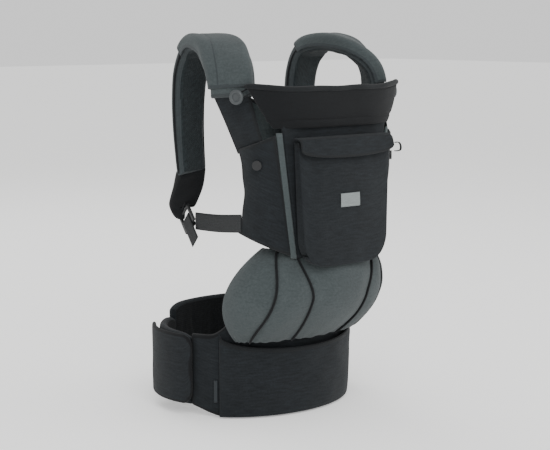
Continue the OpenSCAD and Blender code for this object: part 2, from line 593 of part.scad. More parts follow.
// Ladder lock: a moulded frame with three round bars
lock_w = web_w + 9;
module ladder_lock_left() color("#141618") placed() to_lock() {
  for (side = [-1, 1])
    translate([-lock_l / 2 + lock_bar / 2, side * (lock_w / 2 - 2), 0]) translate([0, -2, -2]) cube([lock_l - lock_bar, 4, 4]);
  for (x = [-lock_l / 2 + lock_bar / 2, 0, lock_l / 2 - lock_bar / 2])
    translate([x, -lock_w / 2, 0]) rotate([-90, 0, 0]) cylinder(d = lock_bar, h = lock_w);
}
module ladder_lock_right() color("#141618") right_of() ladder_lock_left();
// Webbing threaded round the middle bar, its loose tail beyond the frame
tail_l = 24;
module webbing_wrap_left() color("#3a3c3e") placed() to_lock() {
  r = lock_bar / 2 + gap + web_t;
  rotate([90, 0, 0]) translate([0, 0, -web_w / 2]) linear_extrude(height = web_w) {
    difference() {
      union() {
        circle(r = r);
        translate([0, -r]) square([lock_l / 2 + 3, 2 * r]);
      }
      circle(r = r - web_t);
      translate([0, -r + web_t]) square([lock_l, 2 * (r - web_t)]);
    }
    translate([lock_l / 2 + 3, r - web_t]) square([tail_l, web_t]);
  }
}
module webbing_wrap_right() color("#3a3c3e") right_of() webbing_wrap_left();
// Webbing from the wing to the ladder lock
web_from = lock_at + run_dir * ((lock_l + lock_w) * 0.36 + 2 * move_gap);
module shoulder_webbing_left() color("#3a3c3e") placed() {
  f = function(u, v) mix(web_from, anchor, u) + [0, 0, mix(-web_w / 2, web_w / 2, v)];
  sheet(f, 6, 1, web_t);
}
module shoulder_webbing_right() color("#3a3c3e") right_of() shoulder_webbing_left();

// ---------- centring ----------
// Half of the difference between the reach to the front and to the back
front_reach = max([for (v = steps(10)) max(-pouch_face(0.5, v)[1], -seat_shape(0, v)[1] + gore_puff)]);
back_reach = back_y + buckle_h;
shift_y = (front_reach - back_reach) / 2;

belt_front_foam();
belt_front_cover();
belt_front_mesh();
belt_wing_left();
belt_wing_right();
lumbar_pad();
belt_sleeve_left();
belt_sleeve_right();
belt_pocket();
belt_pocket_binding();
belt_tag();
waist_webbing_left();
waist_webbing_right();
waist_anchor_webbing();
waist_adjuster();
waist_buckle_socket();
waist_buckle_plug();
seat_center();
seat_gore_left();
seat_gore_right();
thigh_lobe_left();
thigh_lobe_right();
seat_piping_left();
seat_piping_right();
front_panel();
panel_lining();
edge_band_left();
edge_band_right();
side_wing_left();
side_wing_right();
wing_studs();
panel_arm_left();
panel_arm_right();
pouch_front();
pouch_gusset_left();
pouch_gusset_right();
pouch_bottom();
pocket_flap();
flap_pull();
head_base();
head_support();
head_binding();
button_loops();
button_left();
button_right();
strap_foam_left();
strap_foam_right();
strap_cover_left();
strap_cover_right();
strap_sleeve_left();
strap_sleeve_right();
strap_end_left();
strap_end_right();
ladder_lock_left();
ladder_lock_right();
webbing_wrap_left();
webbing_wrap_right();
shoulder_webbing_left();
shoulder_webbing_right();
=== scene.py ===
import math
import bmesh
import bpy
import numpy as np
from mathutils import Matrix, Vector, noise


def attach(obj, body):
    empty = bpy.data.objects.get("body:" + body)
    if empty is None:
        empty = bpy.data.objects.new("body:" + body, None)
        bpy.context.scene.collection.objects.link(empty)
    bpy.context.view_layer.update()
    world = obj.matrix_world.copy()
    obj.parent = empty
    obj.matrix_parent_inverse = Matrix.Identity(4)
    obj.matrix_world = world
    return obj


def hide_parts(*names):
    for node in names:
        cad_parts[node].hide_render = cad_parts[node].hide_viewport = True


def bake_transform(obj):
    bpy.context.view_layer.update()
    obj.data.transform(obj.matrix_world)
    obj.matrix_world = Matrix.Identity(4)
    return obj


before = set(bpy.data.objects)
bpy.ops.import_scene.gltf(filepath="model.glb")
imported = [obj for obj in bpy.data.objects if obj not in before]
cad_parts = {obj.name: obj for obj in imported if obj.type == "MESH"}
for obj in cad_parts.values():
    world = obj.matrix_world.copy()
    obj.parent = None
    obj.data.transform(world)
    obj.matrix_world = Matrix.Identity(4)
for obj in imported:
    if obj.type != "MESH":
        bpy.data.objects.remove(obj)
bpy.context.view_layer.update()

# ---------- camera, floor and light ----------
# A long lens looks at the carrier from its front left and a little above. It stands on a pale matt
# floor under two large soft lights and an even white surround.
bpy.ops.object.select_all(action="DESELECT")
aim = Vector((0.0245, 0.0175, 0.2550))
turn, lift = math.radians(-40), math.radians(8)
back = Vector((math.sin(turn) * math.cos(lift), -math.cos(turn) * math.cos(lift), math.sin(lift)))
bpy.ops.object.camera_add(location=aim + 2.1 * back)
camera = bpy.context.object
camera.rotation_euler = back.to_track_quat("Z", "Y").to_euler()
camera.data.lens = 93.5
bpy.context.scene.camera = camera


def srgb(code):
    """Linear colour of an sRGB hex value."""
    parts = [int(code[i:i + 2], 16) / 255 for i in (1, 3, 5)]
    return tuple(c / 12.92 if c <= 0.04045 else ((c + 0.055) / 1.055) ** 2.4 for c in parts) + (1.0,)


def add(material, kind, links=None, **settings):
    """Adds one shader node: links are values or sockets for its inputs, settings are its own properties."""
    made = material.node_tree.nodes.new("ShaderNode" + kind)
    for key, value in settings.items():
        setattr(made, key, value)
    for key, value in (links or {}).items():
        if isinstance(value, bpy.types.NodeSocket):
            material.node_tree.links.new(value, made.inputs[key])
        else:
            made.inputs[key].default_value = value
    return made


def new_material(name):
    material = bpy.data.materials.new(name)
    material.use_nodes = True
    return material, material.node_tree.nodes["Principled BSDF"]


# Matt white-painted board: no gloss, a faint unevenness
board_paint, shader = new_material("matt_white_board")
shader.inputs["Base Color"].default_value = srgb("#F4F4F3")
shader.inputs["Roughness"].default_value = 0.95
shader.inputs["Emission Color"].default_value = srgb("#FFFFFF")
shader.inputs["Emission Strength"].default_value = 0.3
bpy.ops.mesh.primitive_plane_add(size=30, location=(0, 0, -0.0005))
floor = bpy.context.object
floor.name = "floor"
floor.data.materials.append(board_paint)
for name, place, size, power in (("key_light", (-1.1, -1.9, 2.0), 1.6, 42), ("side_light", (1.9, -1.3, 1.3), 1.6, 12),
                                 ("back_light", (0.3, 2.0, 1.9), 1.4, 16)):
    bpy.ops.object.light_add(type="AREA", location=place)
    light = bpy.context.object
    light.name = name
    light.data.size = size
    light.data.energy = power
    light.rotation_euler = (Vector(place) - Vector((0, 0, 0.28))).to_track_quat("Z", "Y").to_euler()
world = bpy.data.worlds.new("white_surround")
world.use_nodes = True
world.node_tree.nodes["Background"].inputs["Color"].default_value = (1, 1, 1, 1)
world.node_tree.nodes["Background"].inputs["Strength"].default_value = 1.0
bpy.context.scene.world = world

# ---------- front belt pad ----------
# The stiff padded section that sits on the wearer's front: foam between a woven outer cloth and an
# open mesh inner face, bound round its edge. It is cut as one piece, moulded to an oval.
MM = 0.001
shift = 38.1364
belt_w, belt_d, belt_h = 296.0, 240.0, 118.0


def cloth_material(name, dark, light, rough, sheen, thread, depth, fleck=0.55, slub=0.08):
    """Woven or knitted cloth on the piece's own UV map, whose unit is a metre: crossed threads as relief,
    a heathered mix of two yarn colours, slubs drawn out along the weft, and broad faint fading."""
    material, shader = new_material(name)
    uv = add(material, "UVMap", uv_map="weave").outputs["UV"]
    warp = add(material, "TexWave", {"Vector": uv, "Scale": 0.314 / thread, "Distortion": 0.6, "Detail": 1.0,
                                     "Detail Scale": 2.0}, bands_direction="X").outputs["Fac"]
    weft = add(material, "TexWave", {"Vector": uv, "Scale": 0.314 / thread, "Distortion": 0.6, "Detail": 1.0,
                                     "Detail Scale": 2.0}, bands_direction="Y").outputs["Fac"]
    threads = add(material, "Math", {0: warp, 1: weft}, operation="MULTIPLY").outputs[0]
    yarn = add(material, "TexNoise", {"Vector": uv, "Scale": 0.55 / thread, "Detail": 4.0,
                                      "Roughness": 0.7}).outputs["Fac"]
    spread = add(material, "MapRange", {"Value": yarn, "From Min": 0.3, "From Max": 0.7, "To Min": 0.5 - fleck / 2,
                                        "To Max": 0.5 + fleck / 2}).outputs[0]
    colour = add(material, "Mix", {0: spread, "A": srgb(dark), "B": srgb(light)}, data_type="RGBA")
    faded = add(material, "TexNoise", {"Vector": uv, "Scale": 14.0, "Detail": 2.0}).outputs["Fac"]
    level = add(material, "MapRange", {"Value": faded, "From Min": 0.3, "From Max": 0.7, "To Min": 0.9,
                                       "To Max": 1.1}).outputs[0]
    drawn = add(material, "Mapping", {"Vector": uv, "Scale": (55.0, 330.0, 1.0)}).outputs["Vector"]
    slubs = add(material, "TexNoise", {"Vector": drawn, "Scale": 1.0, "Detail": 3.0,
                                       "Roughness": 0.6}).outputs["Fac"]
    streak = add(material, "MapRange", {"Value": slubs, "From Min": 0.3, "From Max": 0.7,
                                        "To Min": 1 - slub, "To Max": 1 + slub})
    level = add(material, "Math", {0: level, 1: streak.outputs[0]}, operation="MULTIPLY").outputs[0]
    worn = add(material, "HueSaturation", {"Value": level, "Color": colour.outputs["Result"]})
    relief = add(material, "Bump", {"Height": threads, "Strength": 0.55, "Distance": depth})
    grain = add(material, "Bump", {"Height": yarn, "Strength": 0.35, "Distance": depth, "Normal": relief.outputs[0]})
    links = material.node_tree.links
    links.new(worn.outputs["Color"], shader.inputs["Base Color"])
    links.new(grain.outputs[0], shader.inputs["Normal"])
    shader.inputs["Roughness"].default_value = rough
    shader.inputs["Sheen Weight"].default_value = sheen
    shader.inputs["Sheen Roughness"].default_value = 0.6
    shader.inputs["IOR"].default_value = 1.46
    shader.inputs["Specular IOR Level"].default_value = 0.18
    return material


# Dyed polyester twill, dark slate: threads of 0.5 mm are drawn at 1.6 mm so that they show
twill = cloth_material("dyed_polyester_twill", "#121518", "#1E2225", 0.85, 0.04, 0.0016, 0.00035, 0.7, 0.32)
# The same twill in near black, for bindings and belt backs
black_twill = cloth_material("black_polyester_twill", "#0A0B0D", "#141618", 0.85, 0.04, 0.0016, 0.0003)
# Warp-knitted spacer mesh: open cells about 3 mm wide, seen as dark pits between light yarns
spacer_mesh = cloth_material("knitted_spacer_mesh", "#060708", "#15181A", 0.9, 0.02, 0.0030, 0.0009, 0.8)


def mix(a, b, t):
    return a + (b - a) * t


def hump(v):
    return 4 * v * (1 - v)


def oval(angle, off=0.0):
    """Plan point of the belt's oval at an angle from the front, moved out by off, in millimetres."""
    a, b = belt_w / 2, belt_d / 2
    s, c = np.sin(np.radians(angle)), np.cos(np.radians(angle))
    size = np.hypot(s / a, c / b)
    return a * s + off * s / a / size, -b * c - off * c / b / size


def spaced(n, edge=0.06):
    """n + 1 values from 0 to 1, closer together near both ends."""
    t = np.linspace(0, 1, n + 1)
    return t - edge * np.sin(2 * math.pi * t)


def stack(x, y, z):
    x, y, z = np.broadcast_arrays(x, y, z)
    return np.stack([x, y, z], -1).astype(float)


def grid_normals(p):
    du, dv = np.gradient(p, axis=1), np.gradient(p, axis=0)
    n = np.cross(du, dv)
    return n / np.maximum(np.linalg.norm(n, axis=-1, keepdims=True), 1e-9)


def run_lengths(p, axis):
    step = np.linalg.norm(np.diff(p, axis=axis), axis=-1)
    zero = np.zeros_like(np.take(step, [0], axis=axis))
    return np.concatenate([zero, np.cumsum(step, axis=axis)], axis=axis)


def ripple(p, size, seed):
    """Smooth noise from -1 to 1 at every point of a grid, its cells about size millimetres wide."""
    flat = p.reshape(-1, 3) / size + seed
    return np.array([noise.noise(Vector(q)) for q in flat]).reshape(p.shape[:-1])


def cloth_panel(name, shape, nu, nv, thick, rim, faces, paint=None, slack=0.0, fold=22.0, seed=1.0, edge=0.06):
    """A closed panel of cloth or padding: shape(u, v) is its outer face in millimetres, thick its depth
    inwards, rim the radius over which it thins to its sewn edge. paint(u, v, side, d) picks a material."""
    u, v = np.meshgrid(spaced(nu, edge), spaced(nv, edge))
    outer = shape(u, v)
    n = grid_normals(outer)
    along, up = run_lengths(outer, 1), run_lengths(outer, 0)
    d = np.minimum(np.minimum(along, along[:, -1:] - along), np.minimum(up, up[-1:, :] - up))
    k = np.sqrt(np.maximum(1 - (1 - np.clip(d / rim, 0, 1)) ** 2, 0))
    crease = slack * ripple(outer, fold, seed) * np.clip(d / 8, 0, 1) if slack else 0
    deep = thick(u, v) if callable(thick) else thick * np.ones_like(u)
    middle = outer - n * (deep / 2)[..., None]
    half = deep / 2 * k
    top = middle + n * (half + crease)[..., None]
    low = middle - n * (half - crease)[..., None]
    rows, cols = u.shape
    verts = list(top.reshape(-1, 3))
    index = np.arange(rows * cols).reshape(rows, cols)
    under = index.copy()
    for i in range(1, rows - 1):
        for j in range(1, cols - 1):
            under[i, j] = len(verts)
            verts.append(low[i, j])
    quads, picks = [], []
    for i in range(rows - 1):
        for j in range(cols - 1):
            middle_uvd = (u[i:i + 2, j:j + 2].mean(), v[i:i + 2, j:j + 2].mean(), d[i:i + 2, j:j + 2].mean())
            for side, ids in ((0, index), (1, under)):
                ring = [ids[i, j], ids[i, j + 1], ids[i + 1, j + 1], ids[i + 1, j]]
                quads.append(ring if side == 0 else ring[::-1])
                corners = [(i, j), (i, j + 1), (i + 1, j + 1), (i + 1, j)]
                at_u, at_v, at_d = middle_uvd
                pick = paint(at_u, at_v, side, at_d) if paint else min(side, len(faces) - 1)
                picks.append((pick, corners if side == 0 else corners[::-1]))
    mesh = bpy.data.meshes.new(name)
    place = (np.array(verts) + [0, shift, 0]) * MM
    mesh.from_pydata(place.tolist(), [], [[int(q) for q in ring] for ring in quads])
    layer = mesh.uv_layers.new(name="weave")
    at = 0
    for face, (pick, corners) in zip(mesh.polygons, picks):
        face.material_index = pick
        face.use_smooth = True
        for i, j in corners:
            layer.data[at].uv = (along[i, j] * MM, up[i, j] * MM)
            at += 1
    piece = bpy.data.objects.new(name, mesh)
    bpy.context.scene.collection.objects.link(piece)
    for material in faces:
        mesh.materials.append(material)
    return piece


def mirrored(piece, name):
    """The same piece for the other side."""
    other = piece.copy()
    other.data = piece.data.copy()
    other.name = other.data.name = name
    bpy.context.scene.collection.objects.link(other)
    other.data.transform(Matrix.Scale(-1, 4, (1, 0, 0)))
    other.data.flip_normals()
    return other


def swollen(piece, pressure=4.0, cap=5.0, stiff=15.0, frames=20):
    """Fills a sewn panel with a cloth simulation: its rim stays sewn, and no point moves over cap millimetres."""
    bm = bmesh.new()
    bm.from_mesh(piece.data)
    bm.normal_update()
    sharp = math.radians(38)
    sewn = [x.index for x in bm.verts
            if max((e.calc_face_angle(0.0) for e in x.link_edges), default=0) > sharp]
    bm.free()
    group = piece.vertex_groups.new(name="sewn")
    group.add(sewn, 1.0, "REPLACE")
    start = np.empty(len(piece.data.vertices) * 3)
    piece.data.vertices.foreach_get("co", start)
    cloth = piece.modifiers.new("fill", "CLOTH")
    cloth.settings.use_pressure = True
    cloth.settings.uniform_pressure_force = pressure
    cloth.settings.effector_weights.gravity = 0
    cloth.settings.tension_stiffness = cloth.settings.compression_stiffness = stiff
    cloth.settings.shear_stiffness = 5
    cloth.settings.bending_stiffness = 0.5
    cloth.settings.vertex_group_mass = "sewn"
    cloth.settings.quality = 5
    cloth.collision_settings.use_collision = False
    cloth.point_cache.frame_end = frames
    scene = bpy.context.scene
    for step in range(1, frames + 1):
        scene.frame_set(step)
    done = piece.evaluated_get(bpy.context.evaluated_depsgraph_get())
    moved = np.empty_like(start)
    done.data.vertices.foreach_get("co", moved)
    scene.frame_set(1)
    piece.modifiers.remove(cloth)
    piece.vertex_groups.remove(group)
    delta = (moved - start).reshape(-1, 3)
    size = np.linalg.norm(delta, axis=1, keepdims=True)
    delta *= np.minimum(1, cap * MM / np.maximum(size, 1e-9))
    piece.data.vertices.foreach_set("co", (start.reshape(-1, 3) + np.nan_to_num(delta)).ravel())
    piece.data.update()
    smooth = piece.modifiers.new("smooth", "SUBSURF")
    smooth.levels = smooth.render_levels = 1
    return piece


pad_angle, pad_rise = 74.0, 30.0
slope_start, slope_run = 94.2, 36.0
foot_start, foot_run, foot_rise = 118.0, 24.0, 14.0


def pad_shape(u, v):
    x, y = oval(mix(-pad_angle, pad_angle, u))
    slope = np.clip((np.abs(x) - slope_start) / slope_run, 0, 1)
    slope = slope * slope * (3 - 2 * slope)
    top = belt_h + pad_rise * (1 - slope)
    foot = foot_rise * np.clip((np.abs(x) - foot_start) / foot_run, 0, 1) ** 1.4
    return stack(x, y, mix(foot, top, v))


def bound_edges(u, v, side, d):
    return 2 if d < 5.5 else side


front_pad = cloth_panel("belt_front_pad", pad_shape, 90, 36, 13.0, 7.0, [twill, spacer_mesh, black_twill],
                        bound_edges, slack=0.5, fold=34, seed=3.1)
swollen(front_pad, 3.0, 2.0)
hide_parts("belt_front_foam", "belt_front_cover", "belt_front_mesh")
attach(front_pad, "carrier")

# ---------- belt wings and back pad ----------
# Softer padded sections that carry the belt round the hips, and a taller pad over the small of the
# back. Foam in twill, mesh inside, quilted down in upright channels and bound along the top.


def round_the_hips(start, end, top, foot):
    def shape(u, v):
        x, y = oval(mix(start, end, u), -0.6)
        return stack(x, y, mix(foot, top - 9 * np.abs(2 * u - 1) ** 8, v))
    return shape


wing_pad = cloth_panel("belt_wing_pad_left", round_the_hips(-147.4, -73.4, 118.0, 14.0), 44, 26, 11.5, 6.0,
                       [black_twill, spacer_mesh, twill], bound_edges, slack=0.6, fold=26, seed=5.7)
swollen(wing_pad, 3.0, 2.0)
for piece, side in ((wing_pad, "left"), (mirrored(wing_pad, "belt_wing_pad_right"), "right")):
    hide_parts("belt_wing_" + side)
    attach(piece, "carrier")

back_pad = cloth_panel("lumbar_back_pad", round_the_hips(144.6, 215.4, 134.0, 0.0), 48, 30, 11.5, 6.0,
                       [black_twill, spacer_mesh, twill], bound_edges, slack=0.4, fold=30, seed=9.3)
swollen(back_pad, 4.0, 3.0)
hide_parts("lumbar_pad")
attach(back_pad, "carrier")

# ---------- hip tabs ----------
# A loose flap of the same padded twill stands off each wing and hides where the waist webbing is
# sewn in. It is bound all round, with rounded lower corners; the right one is cut shorter.


def tab_shape(foot):
    def shape(u, v):
        x, y = oval(-mix(128.0, 70.0, u), 10.4)
        near = np.clip(np.minimum(u, 1 - u) * 8, 0, 1)
        drop = 22 * (1 - np.sqrt(1 - (1 - near) ** 2))
        return stack(x, y, mix(foot + drop, 118.4 - 0.9 * drop, v))
    return shape


for name, foot in (("hip_tab_left", 17.4), ("hip_tab_right", 35.8)):
    tab = cloth_panel(name, tab_shape(foot), 50, 28, 6.0, 4.0, [twill, black_twill, black_twill], bound_edges,
                      slack=0.5, fold=24, seed=2.2)
    swollen(tab, 2.0, 1.2)
    if name.endswith("right"):
        tab.data.transform(Matrix.Scale(-1, 4, (1, 0, 0)))
        tab.data.flip_normals()
    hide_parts("belt_sleeve_" + name[8:])
    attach(tab, "carrier")

# ---------- belt pocket ----------
# A patch of twill sewn to the pad down both sides and along the bottom, fuller than the pad behind
# it, so that its mouth dips and stands a little open. A folded binding finishes the mouth.


pocket_top, pocket_dip, pocket_angle = 116.0, 22.0, 54.0
pocket_off, pocket_bulge = 2.8, 8.6


def pocket_mouth(u):
    return pocket_top - pocket_dip * np.maximum(hump(u), 0) ** 0.45


def pocket_skin(u, v, height):
    full = np.maximum(hump(u), 0) ** 0.4 * np.sqrt(mix(0.06, 1, np.minimum(v * 1.6, 1)))
    x, y = oval(mix(-pocket_angle, pocket_angle, u), pocket_off + pocket_bulge * full)
    return stack(x, y, height)


def pocket_shape(u, v):
    sag = -1.1 * np.sin(v * 7.0) * np.maximum(hump(u), 0)
    p = pocket_skin(u, v, mix(1.0 + 0 * u, pocket_mouth(u), v))
    p[..., 1] += sag
    return p


pocket = cloth_panel("belt_pocket_patch", pocket_shape, 84, 34, 2.2, 2.0, [twill, black_twill], slack=1.5,
                     fold=36, seed=4.4)
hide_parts("belt_pocket")
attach(pocket, "carrier")
smooth = pocket.modifiers.new("smooth", "SUBSURF")
smooth.levels = smooth.render_levels = 1

# Grosgrain binding: fine cross ribs, a shade darker than the twill
grosgrain = cloth_material("grosgrain_binding", "#0E1012", "#191C1E", 0.78, 0.05, 0.0012, 0.0003)


def mouth_shape(u, v):
    return pocket_skin(u, 1 + 0 * v, pocket_mouth(u) - 3.0 + 7.0 * v) - np.array([0, 0.5, 0])


mouth = cloth_panel("pocket_mouth_binding", mouth_shape, 84, 8, 3.4, 1.7, [grosgrain], slack=0.15, fold=9, seed=8.0)
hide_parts("belt_pocket_binding")
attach(mouth, "carrier")


def tag_shape(u, v):
    x, y = oval(mix(-57.0, -54.8, u), 2.2)
    return stack(x, y, mix(22.0, 54.0, v) + 0 * u)


# Woven satin label, plain
satin = cloth_material("woven_satin_label", "#202427", "#2E3336", 0.45, 0.05, 0.0008, 0.0001)
tag = cloth_panel("plain_side_label", tag_shape, 8, 16, 1.2, 0.6, [satin])
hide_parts("belt_tag")
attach(tag, "carrier")

# ---------- waist webbing ----------
# Flat 38 mm polyester webbing leaves each tab, runs round the hips and meets at the buckle behind
# the back pad. Its ends are folded and box-stitched.
# Woven polyester webbing: hard ribs along its length, a little shine
ribbed = cloth_material("woven_polyester_webbing", "#0E1012", "#1D2022", 0.65, 0.04, 0.0022, 0.0006, 0.7)
back_y, web_z, waist_web_w = 123.0, 56.64, 38.0
buckle_y = back_y + 4.5


def curve_through(points, t):
    """Points at t, from 0 to 1, on a smooth curve through evenly spaced ones."""
    pts = np.asarray(points, float)
    n = len(pts) - 1
    s = np.clip(t, 0, 1) * n
    i = np.minimum(np.floor(s).astype(int), n - 1)
    f = (s - i)[..., None]
    a, b, c, d = pts[np.maximum(i - 1, 0)], pts[i], pts[i + 1], pts[np.minimum(i + 2, n)]
    return 0.5 * (2 * b + (c - a) * f + (2 * a - 5 * b + 4 * c - d) * f ** 2 + (3 * b - 3 * c + d - a) * f ** 3)


def along_line(points, t):
    """Points at t, from 0 to 1, by length along straight runs."""
    pts = np.asarray(points, float)
    reach = np.concatenate([[0], np.cumsum(np.linalg.norm(np.diff(pts, axis=0), axis=1))])
    return np.stack([np.interp(t * reach[-1], reach, pts[:, k]) for k in range(3)], -1)


def webbing(name, points, across, width, n=90, thick=1.6, smoothed=False, material=None):
    """A flat webbing along points, its width along the vector across, or one vector for each end."""
    a, b = (np.asarray(w, float) for w in (across if np.ndim(across) == 2 else (across, across)))
    route = curve_through if smoothed else along_line

    def shape(u, v):
        w = a + (b - a) * u[..., None]
        w /= np.linalg.norm(w, axis=-1, keepdims=True)
        return route(points, u) + w * (v - 0.5)[..., None] * width
    return cloth_panel(name, shape, n, 10, thick, thick * 0.45, [material or ribbed], edge=0.01)


def hip_route(x_end, leave, plane):
    places = [oval(-mix(120.0, leave, t), 0.4 + 0.9) for t in np.linspace(0, 1, 9)]
    points = [(x, max(y, 0), web_z) for x, y in places]
    return points + [(-x_end - 5, plane, web_z), (-x_end, plane, web_z)]


left_run = webbing("waist_webbing_socket_side", hip_route(30.6, 150.0, buckle_y), (0, 0, 1), waist_web_w)
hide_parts("waist_webbing_left")
anchor_run = webbing("waist_webbing_adjuster_side", hip_route(63.6, 132.0, buckle_y - 3.6), (0, 0, 1), waist_web_w)
anchor_run.data.transform(Matrix.Scale(-1, 4, (1, 0, 0)))
anchor_run.data.flip_normals()
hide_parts("waist_anchor_webbing")
plug_run = webbing("waist_webbing_plug_side", [(18.6, buckle_y, web_z), (58.2, buckle_y, web_z)], (0, 0, -1),
                   waist_web_w, n=40)
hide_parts("waist_webbing_right")
for piece, body in ((left_run, "carrier"), (anchor_run, "carrier"), (plug_run, "waist_plug")):
    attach(piece, body)

# ---------- waist buckle and adjuster ----------
# A side-release buckle moulded in acetal: a hollow socket with a window in each side, and a plug
# with two sprung prongs and a guide tongue. A slotted adjuster takes up the loose webbing.
# Acetal, moulded with a fine spark-eroded grain of 0.4 mm: dark, smooth, softly shining
acetal, shader = new_material("moulded_black_acetal")
place = add(acetal, "TexCoord").outputs["Object"]
grain = add(acetal, "TexNoise", {"Vector": place, "Scale": 2500.0, "Detail": 2.0}).outputs["Fac"]
tone = add(acetal, "TexNoise", {"Vector": place, "Scale": 60.0, "Detail": 3.0}).outputs["Fac"]
shade = add(acetal, "Mix", {0: tone, "A": srgb("#0B0C0E"), "B": srgb("#141618")}, data_type="RGBA")
relief = add(acetal, "Bump", {"Height": grain, "Strength": 0.25, "Distance": 0.0002})
acetal.node_tree.links.new(shade.outputs["Result"], shader.inputs["Base Color"])
acetal.node_tree.links.new(relief.outputs[0], shader.inputs["Normal"])
shader.inputs["Roughness"].default_value = 0.42
shader.inputs["IOR"].default_value = 1.48


def moulded(node, material, radius):
    """Keeps a frame node as it is, with its sharp moulded edges eased, and gives it its finish."""
    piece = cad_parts[node]
    for slot in piece.material_slots:
        slot.material = material
    if not piece.material_slots:
        piece.data.materials.append(material)
    weld = piece.modifiers.new("joined", "WELD")
    weld.merge_threshold = 0.00002
    eased = piece.modifiers.new("eased", "BEVEL")
    eased.width = radius
    eased.segments = 2
    eased.limit_method = "ANGLE"
    eased.angle_limit = math.radians(40)
    eased.harden_normals = False
    return piece


for node in ("waist_buckle_socket", "waist_buckle_plug", "waist_adjuster"):
    moulded(node, acetal, 0.0009)

# ---------- seat ----------
# Five padded gores of brushed grey knit, cut narrow at the belt and full in the middle, make the
# child's seat. Dark piping is sewn into each seam, and the foot is gathered into the belt.
# Brushed polyester knit, mid grey: short nap, heathered, no shine
knit = cloth_material("brushed_grey_knit", "#303637", "#454C4D", 0.92, 0.08, 0.0020, 0.0004, 0.6)

# Knit stretched over foam, a little darker where a binding is sewn
side_knit = cloth_material("dark_grey_edge_knit", "#272C2E", "#383E40", 0.9, 0.1, 0.0018, 0.0004, 0.5)


seat_foot_half, seat_top_half, seat_swell = 106.0, 88.0, 36.0
seat_foot_z, seat_top_z = 109.0, 248.0


def seat_point(angle, v):
    """A point of the seat at an angle from its front, v going up from the belt to the panel."""
    half = mix(seat_foot_half, seat_top_half, v) + seat_swell * hump(v)
    front = mix(131.4, 179.0, v) + 41 * hump(v)
    rear = mix(91.2, 130.0, v) - 12 * hump(v)
    s, c = np.sin(np.radians(angle)), np.cos(np.radians(angle))
    return stack(half * s, -rear - (front - rear) * c, mix(seat_foot_z, seat_top_z, v))


def inner_seam(v):
    return 22 + 24 * np.where(v > 0.5, np.abs(2 * v - 1) ** 1.5, 0)


def outer_seam(v):
    return 47 + 18 * (2 * v - 1) ** 2


def gore_shape(start, end):
    def shape(u, v):
        p = seat_point(mix(start(v), end(v), u), v)
        n = grid_normals(p)
        full = 5.6 * np.sin(math.pi * u) * np.sqrt(np.maximum(hump(v), 0))
        pleats = 0.9 * np.sin(u * 30 + 2 * np.sin(5 * u)) * (np.exp(-v * 9) + 0.5 * np.exp(-(1 - v) * 10))
        return p + n * (full + pleats)[..., None]
    return shape


gores = [("seat_gore_center", lambda v: -1.8 - inner_seam(v), lambda v: inner_seam(v) + 1.8, "seat_center", 34),
         ("seat_gore_side_left", lambda v: -1.2 - outer_seam(v), lambda v: 1.2 - inner_seam(v), "seat_gore_left", 30),
         ("seat_thigh_lobe_left", lambda v: -90.7 + 0 * v, lambda v: 1.2 - outer_seam(v), "thigh_lobe_left", 34)]
for name, start, end, node, nu in gores:
    gore = cloth_panel(name, gore_shape(start, end), nu, 40, 7.6, 4.5, [knit, spacer_mesh], slack=0.8, fold=20,
                       seed=6.1)
    swollen(gore, 4.0, 2.5)
    both = [(gore, node)]
    if name != "seat_gore_center":
        both.append((mirrored(gore, name.replace("left", "right")), node.replace("left", "right")))
    for piece, stands_for in both:
        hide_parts(stands_for)
        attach(piece, "carrier")


def round_cord(name, points, d, material, sides=10, closed_ends=True):
    """A round-section cord or rolled binding through points, with rounded ends."""
    pts = np.asarray(points, float)
    n = len(pts)
    rings, ups = [], None
    for i in range(n):
        t = pts[min(i + 1, n - 1)] - pts[max(i - 1, 0)]
        t /= np.linalg.norm(t)
        if ups is None:
            ups = np.cross(t, [1.0, 0, 0]) if abs(t[0]) < 0.8 else np.cross(t, [0, 0, 1.0])
        ups = ups - t * ups.dot(t)
        ups /= np.linalg.norm(ups)
        other = np.cross(t, ups)
        taper = 1.0
        if closed_ends:
            taper = {0: 0.45, n - 1: 0.45, 1: 0.85, n - 2: 0.85}.get(i, 1.0)
        rings.append([pts[i] + d / 2 * taper * (math.cos(a) * ups + math.sin(a) * other)
                      for a in np.linspace(0, 2 * math.pi, sides, endpoint=False)])
    verts = [p for r in rings for p in r]
    faces = [[i * sides + k, i * sides + (k + 1) % sides, (i + 1) * sides + (k + 1) % sides, (i + 1) * sides + k]
             for i in range(n - 1) for k in range(sides)]
    faces += [[k for k in range(sides)][::-1], [(n - 1) * sides + k for k in range(sides)]]
    mesh = bpy.data.meshes.new(name)
    mesh.from_pydata(((np.array(verts) + [0, shift, 0]) * MM).tolist(), [], faces)
    layer = mesh.uv_layers.new(name="weave")
    reach = np.concatenate([[0], np.cumsum(np.linalg.norm(np.diff(pts, axis=0), axis=1))])
    for face in mesh.polygons:
        face.use_smooth = True
        for loop in face.loop_indices:
            index = mesh.loops[loop].vertex_index
            layer.data[loop].uv = (reach[index // sides] * MM, (index % sides) * math.pi * d / sides * MM)
    mesh.materials.append(material)
    piece = bpy.data.objects.new(name, mesh)
    bpy.context.scene.collection.objects.link(piece)
    bm = bmesh.new()
    bm.from_mesh(mesh)
    bmesh.ops.recalc_face_normals(bm, faces=bm.faces)
    bm.to_mesh(mesh)
    bm.free()
    return piece


def joined(pieces, name):
    bpy.ops.object.select_all(action="DESELECT")
    for piece in pieces:
        piece.select_set(True)
    bpy.context.view_layer.objects.active = pieces[0]
    bpy.ops.object.join()
    pieces[0].name = pieces[0].data.name = name
    pieces[0].select_set(False)
    return pieces[0]


piping_d = 3.4


